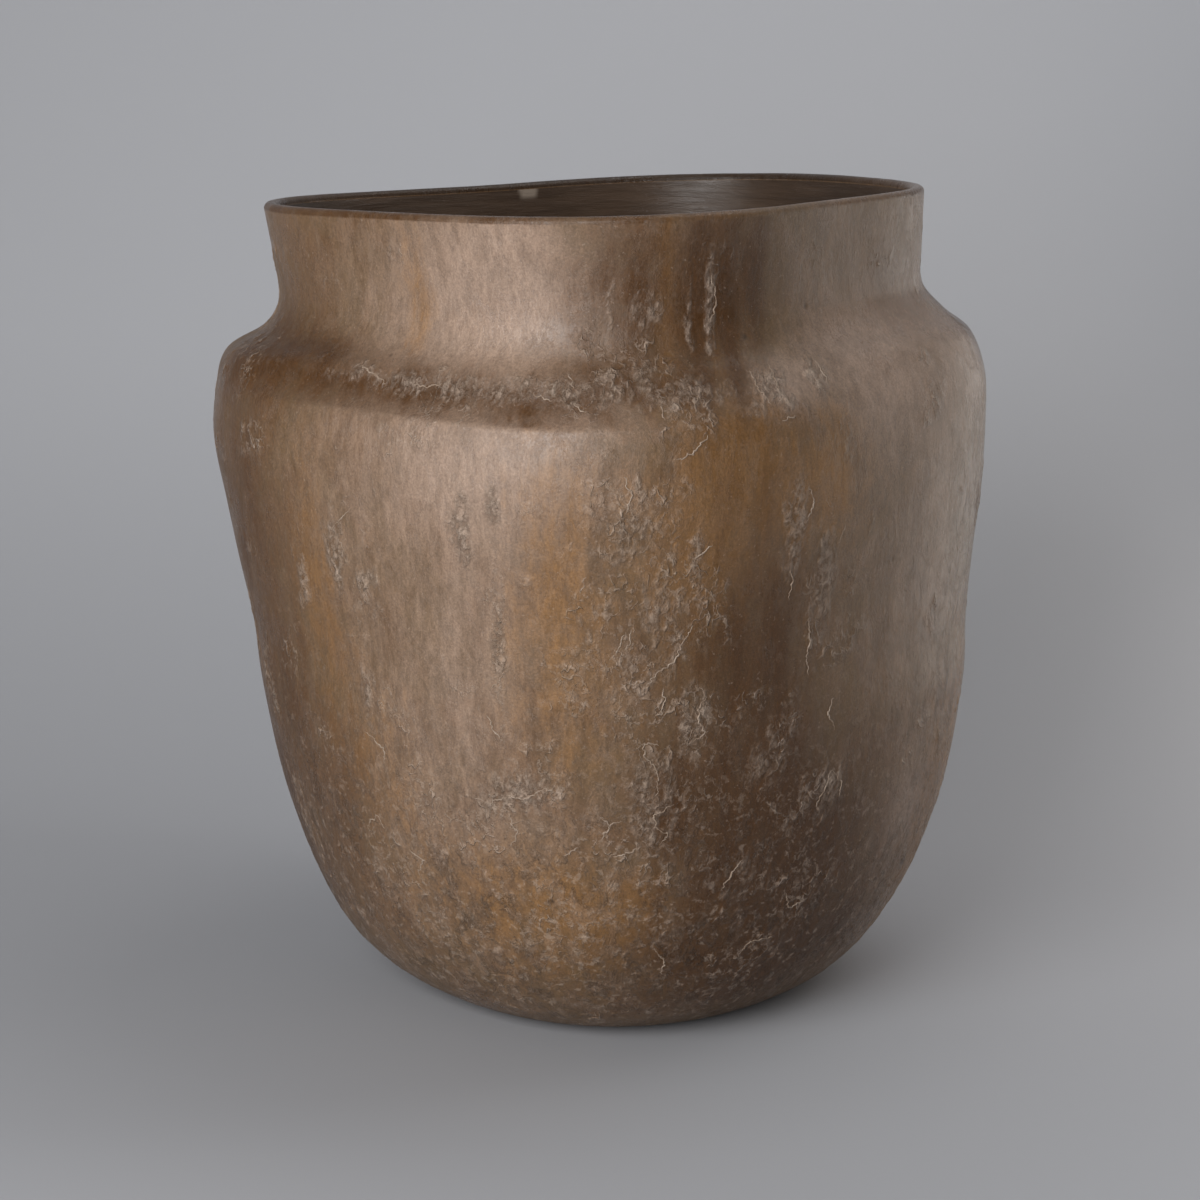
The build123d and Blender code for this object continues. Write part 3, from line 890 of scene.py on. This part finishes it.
def ridgeTree():
    tree = bpy.data.node_groups.new("ridgeLines", "GeometryNodeTree")
    sizes = {name: "Float" for name in ("Spacing", "Crookedness", "Thickness", "Seed")}
    addSockets(tree, "INPUT", {"Geometry": "Geometry", **sizes, "Wall": "Object", "Material": "Material"})
    addSockets(tree, "OUTPUT", {"Geometry": "Geometry"})
    given = tree.nodes.new("NodeGroupInput").outputs
    here = addNode(tree, "GeometryNodeInputPosition").outputs[0]
    line = addNode(tree, "GeometryNodeMeshToCurve", {0: given["Geometry"]}).outputs[0]
    spaced = {"Curve": line, "Length": given["Spacing"]}
    line = addNode(tree, "GeometryNodeResampleCurve", spaced, mode="LENGTH").outputs[0]
    wander = addNode(
        tree,
        "ShaderNodeTexNoise",
        {"Vector": here, "W": given["Seed"], "Scale": 210.0, "Detail": 3.0, "Roughness": 0.7},
        noise_dimensions="4D",
    ).outputs[1]
    reach = times(tree, given["Crookedness"], 4.0)
    wander = vectorCalc(tree, "SCALE", vectorCalc(tree, "SUBTRACT", wander, (0.5, 0.5, 0.5)), reach)
    line = addNode(tree, "GeometryNodeSetPosition", {"Geometry": line, "Offset": wander}).outputs[0]
    wall = addNode(tree, "GeometryNodeObjectInfo", {"Object": given["Wall"]}).outputs["Geometry"]
    nearest = addNode(tree, "GeometryNodeProximity", {0: wall, "Sample Position": here}, target_element="FACES")
    line = addNode(tree, "GeometryNodeSetPosition", {"Geometry": line, "Position": nearest.outputs[0]}).outputs[0]
    along = addNode(tree, "GeometryNodeSplineParameter").outputs[0]
    taper = calc(tree, "POWER", calc(tree, "SINE", times(tree, along, math.pi)), 0.6)
    uneven = ease(tree, noise(tree, here, 260.0, 2.0, w=given["Seed"]), 0.3, 0.7, 0.35, 1.25)
    size = times(tree, times(tree, taper, uneven), given["Thickness"])
    size = plus(tree, size, 0.0001)
    ring = addNode(tree, "GeometryNodeCurvePrimitiveCircle", {"Resolution": 8, "Radius": 1.0}).outputs[0]
    swept = {"Curve": line, "Profile Curve": ring, "Scale": size, "Fill Caps": True}
    tube = addNode(tree, "GeometryNodeCurveToMesh", swept).outputs[0]
    tube = addNode(tree, "GeometryNodeSetShadeSmooth", {0: tube}).outputs[0]
    return endTree(tree, tube, given["Material"])


def ridgeClay():
    material, tree, shader, place = newMaterial("driedSlip", slipRidges)
    marks = useGroup(tree, burnishMarks, {"Place": place, "Seed": 4.0})
    pale = ease(tree, marks["Mottle"], 0.0, 1.0, 0.35, 1.0)
    colour = blend(tree, pale, slipRidges["dark"], slipRidges["light"])
    tree.links.new(colour, shader.inputs["Base Color"])
    tree.links.new(ease(tree, marks["Grain"], 0.3, 0.7, *slipRidges["gloss"]), shader.inputs["Roughness"])
    bump = addNode(tree, "ShaderNodeBump", {"Strength": 0.5, "Distance": 0.0004, "Height": marks["Grain"]})
    tree.links.new(bump.outputs[0], shader.inputs["Normal"])
    return material


def dryRidges():
    points, edges = ridgePoints()
    paths = bpy.data.meshes.new("ridgePaths")
    paths.from_pydata([tuple(p) for p in points], edges, [])
    pathObject = putDown("ridgePaths", paths)
    modifier = pathObject.modifiers.new("ridgeLines", "NODES")
    modifier.node_group = ridgeTree()
    setInputs(modifier, {**slipRidges, "Wall": wornObject, "Material": ridgeClay()})
    mesh = bpy.data.meshes.new_from_object(pathObject.evaluated_get(bpy.context.evaluated_depsgraph_get()))
    bpy.data.objects.remove(pathObject)
    bpy.data.objects.remove(wornObject)
    piece = putDown("slip_ridges", mesh)
    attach(piece, "root")
    print("ridges dried:", len(mesh.polygons), "faces")


dryRidges()

# Stage, light and camera
stageLooks = {
    # the same paper, darker on the floor than up the wall: painted shade on the floor
    "floor": (0.403, 0.410, 0.434, 1),
    "wall": (0.482, 0.490, 0.517, 1),
    "floorBack": 0.40,  # where the sweep starts to rise, behind the jar
    "sweepRadius": 1.1,
    "wallHeight": 4.0,
    "halfWidth": 20.0,
    "floorFront": -20.0,
}


def sweepStage():
    bend = np.radians(np.linspace(0, 90, 40))
    back, radius = stageLooks["floorBack"], stageLooks["sweepRadius"]
    profile = [(stageLooks["floorFront"], 0.0)]
    profile += [(back + radius * math.sin(b), radius * (1 - math.cos(b))) for b in bend]
    profile.append((back + radius, stageLooks["wallHeight"]))
    half = stageLooks["halfWidth"]
    points = [(x, y, z) for y, z in profile for x in (-half, half)]
    faces = [(2 * r, 2 * r + 1, 2 * r + 3, 2 * r + 2) for r in range(len(profile) - 1)]
    mesh = bpy.data.meshes.new("paperSweep")
    mesh.from_pydata(points, [], faces)
    mesh.polygons.foreach_set("use_smooth", np.ones(len(faces), bool))
    material = bpy.data.materials.new("palePaper")
    material.use_nodes = True
    tree = material.node_tree
    place = addNode(tree, "ShaderNodeTexCoord").outputs["Object"]
    height = addNode(tree, "ShaderNodeSeparateXYZ", {0: place}).outputs[2]
    # painted shade: the paper is darker on the floor, lighter up the wall
    colour = blend(tree, ease(tree, height, 0.02, 0.5), stageLooks["floor"], stageLooks["wall"])
    tree.links.new(colour, tree.nodes["Principled BSDF"].inputs["Base Color"])
    tree.nodes["Principled BSDF"].inputs["Roughness"].default_value = 0.9
    behind = addNode(tree, "ShaderNodeNewGeometry").outputs["Backfacing"]  # clear when seen from behind
    clear = addNode(tree, "ShaderNodeBsdfTransparent").outputs[0]
    paper = addNode(tree, "ShaderNodeMixShader", {0: behind, 1: tree.nodes["Principled BSDF"].outputs[0], 2: clear})
    tree.links.new(paper.outputs[0], tree.nodes["Material Output"].inputs["Surface"])
    mesh.materials.append(material)
    sweep = putDown("paperSweep", mesh)


sweepStage()

lights = {
    "windowLight": {"place": (-1.30, -2.25, 1.20), "aim": (0, 0, 0.55), "size": (1.9, 2.0), "power": 70},
    "rightCard": {
        "place": (1.05, 0.42, 0.44), "aim": (0, 0.2, 0.42), "size": (1.15, 0.86), "power": 3.1,
        "tint": (1, 0.93, 0.85),
    },
    "backLight": {"place": (1.5, 0.2, 2.7), "aim": (1.6, 1.6, 0.55), "size": (3.0, 0.8), "power": 25},
    "rightFloor": {
        "place": (1.4, -1.6, 1.9), "aim": (1.2, -1.1, 0), "size": (0.6, 0.6), "power": 3.5, "spread": 55,
    },
}
for name, light in lights.items():
    lamp = bpy.data.lights.new(name, "AREA")
    lamp.shape = "RECTANGLE"
    lamp.size, lamp.size_y = light["size"]
    lamp.energy = light["power"]
    lamp.color = light.get("tint", (1, 1, 1))
    lamp.spread = math.radians(light.get("spread", 180))
    holder = putDown(name, lamp)
    holder.location = light["place"]
    holder.visible_camera = False
    towards = Vector(light["aim"]) - Vector(light["place"])
    holder.rotation_euler = towards.to_track_quat("-Z", "Y").to_euler()

room = {"tint": (1.0, 0.98, 0.95, 1), "strength": 0.13}
world = bpy.data.worlds.new("softRoom")
world.use_nodes = True
world.node_tree.nodes["Background"].inputs[0].default_value = room["tint"]
world.node_tree.nodes["Background"].inputs[1].default_value = room["strength"]
bpy.context.scene.world = world

viewpoint = {"lens": 83.07, "sensor": 36, "place": (-0.013, -2.5, 0.8748), "pitch": 78.19}
camera = bpy.data.cameras.new("camera")
camera.lens, camera.sensor_width = viewpoint["lens"], viewpoint["sensor"]
cameraObject = putDown("camera", camera)
cameraObject.location = viewpoint["place"]
cameraObject.rotation_euler = (math.radians(viewpoint["pitch"]), 0, 0)
bpy.context.scene.camera = cameraObject
bpy.context.scene.view_settings.view_transform = "Standard"
print("stage, lights and camera set")
